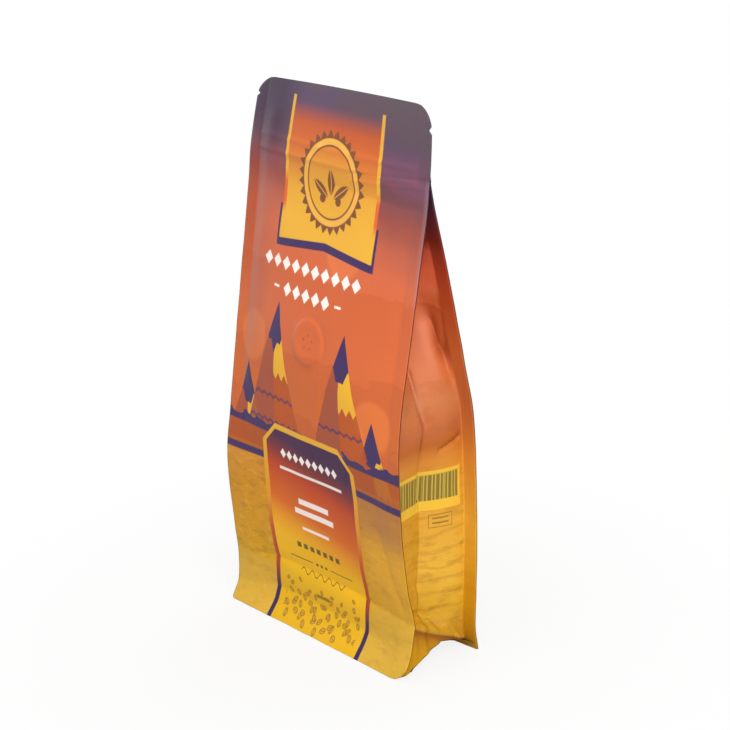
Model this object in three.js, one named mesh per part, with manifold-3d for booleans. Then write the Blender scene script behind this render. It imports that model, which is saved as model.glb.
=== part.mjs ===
// A filled and closed side-gusset coffee pouch of printed film, standing on its base.
// Millimetres, +Z up. The origin is on the ground under the middle of the pouch,
// +X runs along the front panel to its right, and the front panel faces -Y.
import * as THREE from "three";
import { mergeVertices } from "three/addons/utils/BufferGeometryUtils.js";
import Module from "manifold-3d";

const manifold = await Module();
manifold.setup();

// Driving dimensions
const WIDTH = 120; // film width, fin tip to fin tip
const HEIGHT = 245.9; // standing height, at the right end of the top edge
const TOP_DROP = 3.4; // the top edge curves down to its left end by this much
const TOP_DROP_FROM = 230;
const FIN_WIDTH = 7.7; // side seal strip of each panel
const FIN_THICKNESS = 0.7; // sealed films of one fin
const FLAP_THICKNESS = 1; // sealed films of the front and back flaps under the base
const FLAT_THICKNESS = 1; // pressed films above the gussets
const GUSSET_TOP = 213; // where the side folds close
const CORNER_RADIUS = 10.5; // top corners
const SOFT_CORNER_RADIUS = 8.5; // bottom corner of the front panel, at the right
const CRISP_CORNER_RADIUS = 1.5; // the same corner at the left
const BACK_CORNER_RADIUS = 1; // bottom corners of the back panel
const NOTCH_HEIGHT = 236.2; // tear notches above the zipper
const NOTCH_DEPTH = 1.8;
const NOTCH_HALF_OPENING = 1.6;
const ZIPPER_HEIGHTS = [213.5, 219.5]; // the two press-to-close ribs
const RIB_RELIEF = 0.3;
const RIB_WIDTH = 1.3;
const VALVE_HEIGHT = 138.9;
const VALVE_RADIUS = 8.8;
const VALVE_CLEARANCE = 0.3;
const VALVE_RIM = 0.35; // its raised ring over the panel
const VALVE_RIM_WIDTH = 2.4;
const VALVE_DISH = 0.1; // and the dish inside the ring
const VALVE_CHAMFER = 0.6;
const POCKET_DEPTH = 1.2;
const CROWN_POWER = 2.4; // how evenly a filled panel curves from fin to fin
const FLAT_BASE_HALF = 30; // the sagging base rests on the ground this far out
const FLAT_BASE_SHARE = 0.55; // and over this share of its depth
const BASE_SEAL = 9; // height of the base film where it leaves the flaps
const ARCH_CREST = 8.2; // the base film arches up at both sides, highest
const ARCH_CREST_AT = 0.65; // this share of the way to the back,
const ARCH_REAR = 4.2; // and lower at the back
const FOOT_LIFT = 1.3; // the back panel's bottom corners curl up off the ground
const FOOT_LIFT_FROM = 40; // from this far out
const FOOT_LIFT_TOP = 12; // and below this height

const HALF = WIDTH / 2;
const ROOT = HALF - FIN_WIDTH;

// Upright profiles: [height, depth] pairs, joined by one smooth curve each
const FRONT_LEFT = smoothThrough([
  [0, -22.9], [9, -19.0], [20, -18.0], [34, -19.2], [70, -22.0], [97, -18.4], [130, -13.4],
  [168, -7.4], [201, -2.3], [212, -1.0], [222, 1.1], [HEIGHT, 7.4],
]);
const FRONT_MIDDLE = smoothThrough([
  [0, -22.3], [8, -16.2], [14, -14.6], [27, -14.6], [45, -17.2], [70, -18.8], [96, -22.2],
  [120, -22.6], [139, -19.9], [177, -10.2], [206, -4.8], [213, -4.6], [222, -2.9], [HEIGHT, 2.2],
]);
const FRONT_RIGHT = smoothThrough([
  [0, -22.2], [16, -16.7], [25, -15.9], [41, -18.6], [70, -21.8], [99, -22.6], [122, -20.6],
  [144, -16.2], [178, -9.6], [206, -4.4], [220, -2.8], [232, -1.9], [HEIGHT, -1.3],
]);
const BACK_LEFT = smoothThrough([
  [0, 22.1], [14, 20.5], [30, 21.2], [60, 22.1], [90, 21.4], [112, 19.6], [134, 15.8],
  [157, 11.4], [178, 7.2], [205, 1.4], [GUSSET_TOP, 0.3],
]);
const BACK_MIDDLE = smoothThrough([
  [0, 22.3], [10, 16.4], [27, 16.4], [60, 20.6], [90, 23.1], [112, 22.6], [134, 19.2],
  [157, 13.6], [178, 7.2], [200, -0.6], [GUSSET_TOP, -3.3],
]);
const BACK_RIGHT = smoothThrough([
  [0, 21.8], [14, 19.9], [30, 20.7], [60, 21.6], [90, 21.3], [112, 20.0], [134, 15.7],
  [157, 10.8], [178, 6.2], [205, -0.3], [GUSSET_TOP, -1.9],
]);
// How far the middle fold of a gusset lies in from the fin roots
const FOLD_DEPTH = smoothThrough([
  [0, 0], [8, 0.4], [14, 2.4], [20, 8.6], [28, 7.3], [50, 6.8], [70, 6.3], [85, 4.9], [100, 1.6],
  [108, 0.3], [114.6, 2.9], [132.5, 10.8], [150, 16.3], [165, 19.3], [185, 21.2], [211, 22.1],
]);
// How far the rear face of a gusset stands out of its flat fold
const REAR_PUFF = smoothThrough([
  [0, 0], [30, 0.8], [60, 1.6], [95, 1.2], [108, 0.4], [128, 2.2], [148, 3.0], [165, 0.6],
  [178, -1.6], [195, 0], [211, 0],
]);
const GUSSET_SLOPE = 0.33; // the lower gusset creases run down towards the back
const GUSSET_SLOPE_TOP = 32;
const FRONT_WING = 5.5; // the front corner seal widens this much towards the ground
const FRONT_WING_TOP = 16;
const MIDDLE_FOLD_RANGE = [0.35, 0.65]; // shares of a gusset's depth that its middle fold stays in
const DEEPEST_SLOPED_FOLD = 4; // how much deeper than a level one a sloped crease may be
const LEAST_GAP = 0.3;
const OUTSIDE = 8; // the hollows run this far past the fins

// A smooth function of height through the given points, without overshoot
function smoothThrough(points) {
  const last = points.length - 1;
  const rise = points.slice(1).map(([z, v], i) => (v - points[i][1]) / (z - points[i][0]));
  const slope = points.map((_, i) => {
    if (i === 0 || i === last) return rise[Math.min(i, last - 1)];
    const [before, after] = [rise[i - 1], rise[i]];
    return before * after > 0 ? (2 * before * after) / (before + after) : 0;
  });
  return (z) => {
    const at = THREE.MathUtils.clamp(z, points[0][0], points[last][0]);
    const i = Math.min(points.findLastIndex(([start]) => start <= at), last - 1);
    const span = points[i + 1][0] - points[i][0];
    const t = (at - points[i][0]) / span;
    return (
      (1 + 2 * t) * (1 - t) ** 2 * points[i][1] +
      t * (1 - t) ** 2 * span * slope[i] +
      t ** 2 * (3 - 2 * t) * points[i + 1][1] +
      t ** 2 * (t - 1) * span * slope[i + 1]
    );
  };
}

// A panel hangs between its two edge profiles and crowns towards its middle profile
function panelDepth(left, middle, right, x, z) {
  const chord = THREE.MathUtils.lerp(left(z), right(z), (x + HALF) / WIDTH);
  const crown = 1 - Math.min(1, Math.abs(x) / ROOT) ** CROWN_POWER;
  return chord + (middle(z) - (left(z) + right(z)) / 2) * crown;
}

function ribRelief(x, z) {
  const across = 1 - THREE.MathUtils.smoothstep(Math.abs(x), ROOT - 1, ROOT + 1);
  const bumps = ZIPPER_HEIGHTS.map((rib) => Math.exp(-(((z - rib) / RIB_WIDTH) ** 2)));
  return RIB_RELIEF * across * bumps.reduce((sum, bump) => sum + bump, 0);
}

function smoothFrontDepth(x, z) {
  return panelDepth(FRONT_LEFT, FRONT_MIDDLE, FRONT_RIGHT, x, z);
}

function frontDepth(x, z) {
  return smoothFrontDepth(x, z) - ribRelief(x, z);
}

function backDepth(x, z) {
  const pressed = smoothFrontDepth(x, z) + FLAT_THICKNESS;
  const hanging = panelDepth(BACK_LEFT, BACK_MIDDLE, BACK_RIGHT, x, z);
  const settled = z >= GUSSET_TOP ? pressed : Math.max(hanging, pressed);
  return settled + ribRelief(x, z);
}

// How far the top edge's curve brings down a place of the film
function topDrop(x, level) {
  const held = THREE.MathUtils.smoothstep(level, TOP_DROP_FROM, HEIGHT);
  return TOP_DROP * held * ((HALF - x) / WIDTH) ** 2;
}

// How far the back panel's bottom corners curl up
function footLift(x, level) {
  const corner = THREE.MathUtils.smoothstep(Math.abs(x), FOOT_LIFT_FROM, HALF);
  return FOOT_LIFT * corner * Math.max(0, 1 - level / FOOT_LIFT_TOP);
}

// Half the width of a panel at a height, narrowed by its rounded corners
function reach(z, bottomRadius) {
  const above = Math.max(0, z - (HEIGHT - CORNER_RADIUS));
  const below = Math.max(0, bottomRadius - z);
  const topInset = CORNER_RADIUS - Math.sqrt(CORNER_RADIUS ** 2 - above ** 2);
  const bottomInset = bottomRadius - Math.sqrt(bottomRadius ** 2 - below ** 2);
  return HALF - topInset - bottomInset;
}

function frontReach(z, side) {
  return reach(z, side > 0 ? SOFT_CORNER_RADIUS : CRISP_CORNER_RADIUS);
}

function backReach(z) {
  return reach(z, BACK_CORNER_RADIUS);
}

// The closed solid between two grids of points with the same rows and columns
function solidBetween(near, far) {
  const rows = near.length;
  const columns = near[0].length;
  const points = [...near.flat(), ...far.flat()];
  const index = (sheet, row, column) => (sheet * rows + row) * columns + column;
  const faces = [];
  const quad = (a, b, c, d) => faces.push(a, b, c, a, c, d);
  for (let r = 0; r < rows - 1; r++) {
    for (let c = 0; c < columns - 1; c++) {
      quad(index(0, r, c), index(0, r, c + 1), index(0, r + 1, c + 1), index(0, r + 1, c));
      quad(index(1, r, c), index(1, r + 1, c), index(1, r + 1, c + 1), index(1, r, c + 1));
    }
  }
  const top = rows - 1;
  for (let c = 0; c < columns - 1; c++) {
    quad(index(0, 0, c + 1), index(0, 0, c), index(1, 0, c), index(1, 0, c + 1));
    quad(index(0, top, c), index(0, top, c + 1), index(1, top, c + 1), index(1, top, c));
  }
  const end = columns - 1;
  for (let r = 0; r < rows - 1; r++) {
    quad(index(0, r, 0), index(0, r + 1, 0), index(1, r + 1, 0), index(1, r, 0));
    quad(index(0, r + 1, end), index(0, r, end), index(1, r, end), index(1, r + 1, end));
  }
  const geometry = new THREE.BufferGeometry().setFromPoints(points);
  geometry.setIndex(enclosedVolume(points, faces) > 0 ? faces : faces.reverse());
  return geometry;
}

function enclosedVolume(points, faces) {
  let volume = 0;
  for (let i = 0; i < faces.length; i += 3) {
    const [a, b, c] = [points[faces[i]], points[faces[i + 1]], points[faces[i + 2]]];
    volume += a.dot(new THREE.Vector3().crossVectors(b, c)) / 6;
  }
  return volume;
}

function toSolid(geometry) {
  const bare = geometry.clone();
  bare.deleteAttribute("normal");
  bare.deleteAttribute("uv");
  const merged = mergeVertices(bare, 1e-5);
  const mesh = new manifold.Mesh({
    numProp: 3,
    vertProperties: new Float32Array(merged.attributes.position.array),
    triVerts: new Uint32Array(merged.index.array),
  });
  return new manifold.Manifold(mesh);
}

function toGeometry(solid) {
  const mesh = solid.getMesh();
  const geometry = new THREE.BufferGeometry();
  geometry.setAttribute("position", new THREE.BufferAttribute(new Float32Array(mesh.vertProperties), 3));
  geometry.setIndex(new THREE.BufferAttribute(new Uint32Array(mesh.triVerts), 1));
  geometry.computeVertexNormals();
  return geometry;
}

function spread(from, to, steps) {
  return Array.from({ length: steps + 1 }, (_, i) => from + ((to - from) * i) / steps);
}

// Heights of the rows of both panels: close together at corners, creases and ribs
function panelHeights() {
  const quarter = spread(0, Math.PI / 2, 6);
  const bottom = quarter.map((turn) => SOFT_CORNER_RADIUS * (1 - Math.cos(turn)));
  const top = quarter.map((turn) => HEIGHT - CORNER_RADIUS * (1 - Math.sin(turn)));
  return [
    ...bottom, ...spread(12, 30, 5), ...spread(36, 203, 24), ...spread(206, GUSSET_TOP, 3),
    ...spread(214, 221.5, 8), 225, 230, 234, ...top,
  ];
}

// Both panels and all between them, before the gussets and the base are let in
function outerBody() {
  const heights = panelHeights();
  const shares = spread(-1, 1, 16);
  const leastFin = 2;
  const row = (level, leftReach, rightReach, depth, lift) => {
    const root = (share) => Math.min(ROOT, (share < 0 ? leftReach : rightReach) - leastFin);
    const inner = shares.map((share) => share * root(share));
    return [-leftReach, ...inner, rightReach].map((x) => {
      const z = level - topDrop(x, level) + lift(x, level);
      return new THREE.Vector3(x, depth(x, z), z);
    });
  };
  const flat = () => 0;
  const front = heights.map((z) => row(z, frontReach(z, -1), frontReach(z, 1), frontDepth, flat));
  const back = heights.map((z) => row(z, backReach(z), backReach(z), backDepth, footLift));
  return toSolid(solidBetween(front, back));
}

// A point of the gusset film at one height: share runs from the front fin root to the rear one
function gussetPoint(side, z, share) {
  const wing = FRONT_WING * Math.max(0, 1 - z / FRONT_WING_TOP) ** 2;
  const root = ROOT + THREE.MathUtils.lerp(wing, 0, share);
  const [front, rear] = finFaces(side * root, z);
  const middle = THREE.MathUtils.clamp(front / (front - rear), ...MIDDLE_FOLD_RANGE);
  const fold = share < middle ? share / middle : (1 - share) / (1 - middle);
  const puff = share > middle ? Math.sin((Math.PI * (share - middle)) / (1 - middle)) : 0;
  const lean = GUSSET_SLOPE * (1 - THREE.MathUtils.smoothstep(z, 0, GUSSET_SLOPE_TOP));
  const leaned = z + lean * THREE.MathUtils.lerp(front, rear, share);
  const depth = Math.min(FOLD_DEPTH(leaned), FOLD_DEPTH(z) + DEEPEST_SLOPED_FOLD);
  const x = side * (root - depth * fold + REAR_PUFF(z) * puff);
  const [nearest, furthest] = finFaces(x, z);
  return new THREE.Vector3(x, THREE.MathUtils.lerp(nearest, furthest, share), z);
}

// Depths of the inner faces of the front and rear films at a place
function finFaces(x, z) {
  const front = frontDepth(x, z) + FIN_THICKNESS;
  return [front, Math.max(backDepth(x, z) - FIN_THICKNESS, front + LEAST_GAP)];
}

function gussetRow(side, z) {
  const tip = side * (HALF + OUTSIDE);
  const [front, rear] = finFaces(side * HALF, z);
  const film = spread(0, 1, 12).map((share) => gussetPoint(side, z, share));
  return [new THREE.Vector3(tip, front, z), ...film, new THREE.Vector3(tip, rear, z)];
}

// The air outside a gusset, between the two fins of one side
function gussetHollow(side) {
  const heights = [-2, ...spread(0, 30, 10), ...spread(36, 198, 27), GUSSET_TOP - 5];
  const film = heights.map((z) => gussetRow(side, z));
  const beyond = side * (HALF + OUTSIDE + 2);
  const outer = film.map((row) => spread(row[0].y, row.at(-1).y, row.length - 1)
    .map((y) => new THREE.Vector3(beyond, y, row[0].z)));
  return toSolid(solidBetween(film, outer));
}

// Height of the base film over the ground: it sags to the ground in the middle,
// rises to the flaps at the front and back, and arches up at both sides
function baseHeight(x, share) {
  const fromMiddle = Math.abs(2 * share - 1);
  const toFlap = BASE_SEAL * THREE.MathUtils.smoothstep(fromMiddle, FLAT_BASE_SHARE, 1);
  const beyondCrest = (share - ARCH_CREST_AT) / (1 - ARCH_CREST_AT);
  const arch = beyondCrest < 0
    ? (ARCH_CREST * share) / ARCH_CREST_AT
    : THREE.MathUtils.lerp(ARCH_CREST, ARCH_REAR, beyondCrest);
  const toSide = THREE.MathUtils.smoothstep(Math.abs(x), FLAT_BASE_HALF, ROOT - 2);
  return THREE.MathUtils.lerp(toFlap, arch, toSide);
}

// The air under the base film, between the front and back flaps
function baseHollow() {
  const below = -4;
  const lowestCrest = 1;
  const flapSteps = [below, 0, BASE_SEAL / 2, BASE_SEAL];
  const outer = spread(FLAT_BASE_HALF, HALF + 2, 10);
  const columns = [...outer.map((x) => -x).toReversed(), ...spread(-20, 20, 4), ...outer];
  const flap = (x, share, depth, thickness) => {
    const crest = THREE.MathUtils.clamp(baseHeight(x, share), lowestCrest, BASE_SEAL);
    const heights = flapSteps.map((step) => Math.min(step, crest));
    return heights.map((z) => new THREE.Vector3(x, depth(x, z) + thickness, z));
  };
  const film = columns.map((x) => {
    const inFront = flap(x, 0, frontDepth, FLAP_THICKNESS);
    const behind = flap(x, 1, backDepth, -FLAP_THICKNESS).toReversed();
    const [start, end] = [inFront.at(-1).y, behind[0].y];
    const across = spread(0, 1, 14).slice(1, -1).map((share) => {
      const z = baseHeight(x, share);
      return new THREE.Vector3(x, THREE.MathUtils.lerp(start, end, share), z > 0.05 ? z : -0.5);
    });
    return [...inFront, ...across, ...behind];
  });
  const ground = film.map((row) => row.map((p) => new THREE.Vector3(p.x, p.y, below - 1)));
  return toSolid(solidBetween(film, ground));
}

function notchCutter(side) {
  const edge = side * (HALF + 1);
  const height = NOTCH_HEIGHT - topDrop(side * HALF, NOTCH_HEIGHT);
  const outline = new THREE.Shape([
    new THREE.Vector2(edge, height - NOTCH_HALF_OPENING),
    new THREE.Vector2(side * (HALF - NOTCH_DEPTH), height),
    new THREE.Vector2(edge, height + NOTCH_HALF_OPENING),
  ]);
  const cutter = new THREE.ExtrudeGeometry(outline, { depth: 40, bevelEnabled: false });
  cutter.rotateX(Math.PI / 2).translate(0, 20, 0);
  return toSolid(cutter);
}

// The valve lies in the front panel, square to the film round it
function valvePlace() {
  const step = 4;
  const above = smoothFrontDepth(0, VALVE_HEIGHT + step);
  const below = smoothFrontDepth(0, VALVE_HEIGHT - step);
  const lean = (above - below) / (2 * step);
  const outward = new THREE.Vector3(0, -1, lean).normalize();
  const seat = new THREE.Vector3(0, smoothFrontDepth(0, VALVE_HEIGHT), VALVE_HEIGHT);
  return { seat, turn: new THREE.Quaternion().setFromUnitVectors(new THREE.Vector3(0, 1, 0), outward) };
}

function valvePocket() {
  const radius = VALVE_RADIUS + VALVE_CLEARANCE;
  const pocket = new THREE.CylinderGeometry(radius, radius, 2 * POCKET_DEPTH, 40);
  const { seat, turn } = valvePlace();
  pocket.applyQuaternion(turn).translate(seat.x, seat.y, seat.z);
  return toSolid(pocket);
}

function pouch() {
  let body = outerBody();
  for (const side of [-1, 1]) {
    body = body.subtract(gussetHollow(side)).subtract(notchCutter(side));
  }
  body = body.subtract(baseHollow()).subtract(valvePocket());
  const film = new THREE.MeshStandardMaterial({ color: 0xc9683a, roughness: 0.5, metalness: 0 });
  const mesh = new THREE.Mesh(toGeometry(body), film);
  mesh.name = "pouch";
  return mesh;
}

// A low plastic disc with a raised ring round its breathing dish
function valve() {
  const under = VALVE_CLEARANCE - POCKET_DEPTH;
  const rimInside = VALVE_RADIUS - VALVE_RIM_WIDTH;
  const profile = [
    [0, under], [VALVE_RADIUS, under], [VALVE_RADIUS, VALVE_DISH],
    [VALVE_RADIUS - VALVE_CHAMFER, VALVE_RIM], [rimInside, VALVE_RIM],
    [rimInside - VALVE_CHAMFER, VALVE_DISH], [0, VALVE_DISH],
  ].map(([radius, height]) => new THREE.Vector2(radius, height));
  const plastic = new THREE.MeshStandardMaterial({ color: 0xd9d4cc, roughness: 0.45, metalness: 0 });
  const mesh = new THREE.Mesh(new THREE.LatheGeometry(profile, 40), plastic);
  mesh.name = "valve";
  const { seat, turn } = valvePlace();
  mesh.position.copy(seat);
  mesh.quaternion.copy(turn);
  return mesh;
}

const bag = new THREE.Group();
bag.add(pouch(), valve());
export default bag;
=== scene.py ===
import bpy
import numpy as np
from mathutils import Matrix, Vector


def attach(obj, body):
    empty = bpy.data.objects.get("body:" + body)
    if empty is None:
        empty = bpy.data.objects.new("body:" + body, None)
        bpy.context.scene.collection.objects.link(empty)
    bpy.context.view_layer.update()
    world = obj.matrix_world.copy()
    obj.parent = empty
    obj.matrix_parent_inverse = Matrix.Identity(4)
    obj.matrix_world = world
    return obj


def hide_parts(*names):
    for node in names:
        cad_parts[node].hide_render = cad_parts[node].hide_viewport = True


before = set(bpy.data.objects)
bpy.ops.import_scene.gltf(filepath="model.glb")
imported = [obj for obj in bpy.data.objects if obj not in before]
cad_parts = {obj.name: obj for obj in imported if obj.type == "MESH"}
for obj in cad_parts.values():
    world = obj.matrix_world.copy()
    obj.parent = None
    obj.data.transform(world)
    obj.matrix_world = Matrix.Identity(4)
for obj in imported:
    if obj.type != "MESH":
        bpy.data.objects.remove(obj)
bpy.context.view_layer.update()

MM = 0.001

# The solid model's own sizes
WIDTH = 120
HEIGHT = 245.9
TOP_DROP = 3.4
TOP_DROP_FROM = 230
FIN_WIDTH = 7.7
GUSSET_TOP = 213
CORNER_RADIUS = 10.5
SOFT_CORNER_RADIUS = 8.5
CRISP_CORNER_RADIUS = 1.5
BACK_CORNER_RADIUS = 1
NOTCH_HEIGHT = 236.2
NOTCH_DEPTH = 1.8
NOTCH_HALF_OPENING = 1.6
ZIPPER_HEIGHTS = (213.5, 219.5)
RIB_RELIEF = 0.3
RIB_WIDTH = 1.3
VALVE_HEIGHT = 138.9
VALVE_RADIUS = 8.8
VALVE_RIM = 0.35
VALVE_RIM_WIDTH = 2.4
CROWN_POWER = 2.4
FLAT_BASE_HALF = 30
FLAT_BASE_SHARE = 0.55
BASE_SEAL = 9
ARCH_CREST = 8.2
ARCH_CREST_AT = 0.65
ARCH_REAR = 4.2
FOOT_LIFT = 1.3
FOOT_LIFT_FROM = 40
FOOT_LIFT_TOP = 12
GUSSET_SLOPE = 0.33
GUSSET_SLOPE_TOP = 32
FRONT_WING = 5.5
FRONT_WING_TOP = 16
MIDDLE_FOLD_RANGE = (0.35, 0.65)
DEEPEST_SLOPED_FOLD = 4
HALF = WIDTH / 2
ROOT = HALF - FIN_WIDTH

# The films
FILM = 0.2  # thickness of one film
LAYER = FILM + 0.04  # and with the seal to the next one
LEAST_GAP = 0.04
STEP = 1.0  # spacing of the points of a film
FINE_STEP = 0.5  # and over the valve
FINE_REACH = 11
CORNER_ROWS = 19
LEAST_ROW_GAP = 0.15
GUSSET_STEP = 0.7
GUSSET_POINTS = 41  # across each half of a gusset, crowded towards its middle fold
FOLD_CROWDING = 1.3
FIN_POINTS = 10  # across the strip of a gusset in a fin
BASE_POINTS = (61, 117)  # of the base film, back to front and across
FLAP_POINTS = 8  # up the base film's flaps
VALVE_RISE = VALVE_RIM + LAYER + 0.05  # the film over the valve's ring
VALVE_DIP = 0.2  # and how far it dips into the dish
VALVE_APRON = 5  # round the valve the film settles over this much
VALVE_SHOULDER = 2  # and comes down from the ring and the dish's edge over this much
ZIPPER_GAP = 0.4  # the pressed films stand this much apart along the zipper
OPENING_TOP = 215.5  # the front and rear fins part below this height
GUSSET_FILM_TOP = OPENING_TOP - 0.5
GUSSET_FLAT = 46  # width of a gusset's film between its fins
UV_SCALE = 0.01


def smooth_through(*points):
    """A smooth function of height through the given points, without overshoot."""
    heights, values = np.array(points, float).T
    rise = np.diff(values) / np.diff(heights)
    before, after = rise[:-1], rise[1:]
    turns = before * after <= 0
    inner = np.where(turns, 0, 2 * before * after / np.where(turns, 1, before + after))
    slope = np.concatenate([rise[:1], inner, rise[-1:]])

    def at(z):
        z = np.clip(z, heights[0], heights[-1])
        i = np.clip(np.searchsorted(heights, z, side="right") - 1, 0, len(points) - 2)
        span = heights[i + 1] - heights[i]
        t = (z - heights[i]) / span
        from_start = (1 + 2 * t) * (1 - t) ** 2 * values[i] + t * (1 - t) ** 2 * span * slope[i]
        to_end = t**2 * (3 - 2 * t) * values[i + 1] + t**2 * (t - 1) * span * slope[i + 1]
        return from_start + to_end

    return at


# The solid model's upright profiles: (height, depth) pairs
FRONT_LEFT = smooth_through(
    (0, -22.9), (9, -19.0), (20, -18.0), (34, -19.2), (70, -22.0), (97, -18.4), (130, -13.4),
    (168, -7.4), (201, -2.3), (212, -1.0), (222, 1.1), (HEIGHT, 7.4),
)
FRONT_MIDDLE = smooth_through(
    (0, -22.3), (8, -16.2), (14, -14.6), (27, -14.6), (45, -17.2), (70, -18.8), (96, -22.2),
    (120, -22.6), (139, -19.9), (177, -10.2), (206, -4.8), (213, -4.6), (222, -2.9), (HEIGHT, 2.2),
)
FRONT_RIGHT = smooth_through(
    (0, -22.2), (16, -16.7), (25, -15.9), (41, -18.6), (70, -21.8), (99, -22.6), (122, -20.6),
    (144, -16.2), (178, -9.6), (206, -4.4), (220, -2.8), (232, -1.9), (HEIGHT, -1.3),
)
BACK_LEFT = smooth_through(
    (0, 22.1), (14, 20.5), (30, 21.2), (60, 22.1), (90, 21.4), (112, 19.6), (134, 15.8),
    (157, 11.4), (178, 7.2), (205, 1.4), (GUSSET_TOP, 0.3),
)
BACK_MIDDLE = smooth_through(
    (0, 22.3), (10, 16.4), (27, 16.4), (60, 20.6), (90, 23.1), (112, 22.6), (134, 19.2),
    (157, 13.6), (178, 7.2), (200, -0.6), (GUSSET_TOP, -3.3),
)
BACK_RIGHT = smooth_through(
    (0, 21.8), (14, 19.9), (30, 20.7), (60, 21.6), (90, 21.3), (112, 20.0), (134, 15.7),
    (157, 10.8), (178, 6.2), (205, -0.3), (GUSSET_TOP, -1.9),
)
FOLD_DEPTH = smooth_through(
    (0, 0), (8, 0.4), (14, 2.4), (20, 8.6), (28, 7.3), (50, 6.8), (70, 6.3), (85, 4.9), (100, 1.6),
    (108, 0.3), (114.6, 2.9), (132.5, 10.8), (150, 16.3), (165, 19.3), (185, 21.2), (211, 22.1),
)
REAR_PUFF = smooth_through(
    (0, 0), (30, 0.8), (60, 1.6), (95, 1.2), (108, 0.4), (128, 2.2), (148, 3.0), (165, 0.6),
    (178, -1.6), (195, 0), (211, 0),
)

# Folds of the films: a path of (across, height) points, its width and its rise
FRONT_BULGES = [
    ([(-45, 112), (-45, 226)], 5, 0.7),
    ([(-8, 60), (-4, 112)], 9, 0.35),
    ([(6, 100), (9, 128)], 3.5, 0.35),
]
FRONT_CREASES = [
    ([(2, 205), (53, 203)], 2.5, -0.6),
    ([(14, 212.6), (59, 215.8)], 0.8, -0.4),
    ([(14, 209.4), (57, 212.4)], 1.6, 0.35),
    ([(-53, 212), (-24, 210)], 2, -0.25),
    ([(-38, 28), (25, 26.5), (60, 24.5)], 3, -1),
    ([(-58, 9.5), (-33, 13), (40, 10.5)], 2.5, -0.55),
    ([(43, 64), (54, 31)], 3, -0.7),
    ([(28, 27), (56, 45)], 3, 0.3),
]
BACK_CREASES = [
    ([(-56, 27), (56, 26)], 2.5, -0.5),
    ([(-20, 190), (-38, 150)], 3, -0.4),
    ([(26, 186), (40, 140)], 3, -0.4),
]
GUSSET_BULGES = [
    ([(6, 156), (14, 128)], 5, 0.9),
    ([(-4, 27), (0, 21)], 4, 0.9),
]
GUSSET_CREASES = [
    ([(-0.4, 131), (-1.2, 118), (-1.1, 108), (-1.5, 101), (-1, 75)], 0.5, -1.9),
    ([(9.7, 160.8), (14.1, 160.4), (18.5, 159.6), (22.5, 157.6)], 1.3, 0.55),
    ([(12.2, 152.5), (15.2, 143.5), (22.3, 135.2)], 6, -5.5),
    ([(23, 101.6), (19.5, 99.4), (9, 96.4)], 1.1, -1.9),
    ([(-11, 18.1), (-4.9, 16), (2.4, 13.6), (7.6, 11.6), (14.6, 9), (21.5, 6)], 1.6, 2.6),
    ([(2, 21.3), (8, 13.7)], 1.6, -0.7),
]
# Slack of the films between their folds, in bumps of (rise, size, seed)
FRONT_SLACK = [(0.45, 31, 11), (0.2, 13, 12)]
BACK_SLACK = [(0.6, 33, 21), (0.25, 14, 22)]
# Heights over which the filling and the crumples begin or end
FILL_FOOT = (10, 40)
FRONT_FILL_TOP = (196, 212)
BACK_FILL_TOP = (190, 208)
GUSSET_FILL_TOP = (180, 205)
PRESSED_FOOT = (205, 215)
CRUMPLE_TOP = (20, 60)
GUSSET_CRUMPLE_TOP = (18, 48)
ZIPPER_GAP_TOP = (224, 230)


def smoothstep(value, low, high):
    """0 below low, 1 above high, and a smooth rise between."""
    t = np.clip((value - low) / (high - low), 0, 1)
    return t * t * (3 - 2 * t)


def fade(value, start, end):
    """1 below start, 0 above end, and a smooth fall between."""
    return 1 - smoothstep(value, start, end)


def lerp(start, end, share):
    return start + (end - start) * share


def wander(u, v, cell, seed):
    """Smooth noise from -1 to 1 over a plane, with bumps about one cell apart."""
    size = 97
    lattice = np.random.default_rng(seed).uniform(-1, 1, (size, size))
    p, q = np.asarray(u) / cell, np.asarray(v) / cell
    i, j = np.floor(p).astype(int), np.floor(q).astype(int)
    s, t = smoothstep(p - i, 0, 1), smoothstep(q - j, 0, 1)
    rows = [lerp(lattice[i % size, k % size], lattice[(i + 1) % size, k % size], s) for k in (j, j + 1)]
    return lerp(*rows, t)


def bumps(u, v, layers):
    return sum(rise * wander(u, v, size, seed) for rise, size, seed in layers)


def distance_to_line(u, v, start, end):
    """How far each point is from a segment."""
    run_u, run_v = end[0] - start[0], end[1] - start[1]
    along = ((u - start[0]) * run_u + (v - start[1]) * run_v) / (run_u**2 + run_v**2)
    along = np.clip(along, 0, 1)
    return np.hypot(u - start[0] - along * run_u, v - start[1] - along * run_v)


def distance_to_path(u, v, path):
    """How far each point is from the nearest segment of a path."""
    return np.minimum.reduce([distance_to_line(u, v, a, b) for a, b in zip(path, path[1:])])


def folds(u, v, paths, power):
    """Ridges along paths, or valleys where the rise is negative: sharp at power 1, rounded at 2."""
    return sum(
        rise * np.exp(-((distance_to_path(u, v, path) / width) ** power)) for path, width, rise in paths
    )


def panel_depth(left, middle, right, x, z):
    """A panel hangs between its two edge profiles and crowns towards its middle profile."""
    chord = lerp(left(z), right(z), (x + HALF) / WIDTH)
    crown = 1 - np.minimum(1, np.abs(x) / ROOT) ** CROWN_POWER
    return chord + (middle(z) - (left(z) + right(z)) / 2) * crown


def rib_relief(x, z):
    """The two ribs of the zipper, which end at the fins."""
    across = fade(np.abs(x), ROOT - 1, ROOT + 1)
    return RIB_RELIEF * across * sum(np.exp(-(((z - rib) / RIB_WIDTH) ** 2)) for rib in ZIPPER_HEIGHTS)


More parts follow.
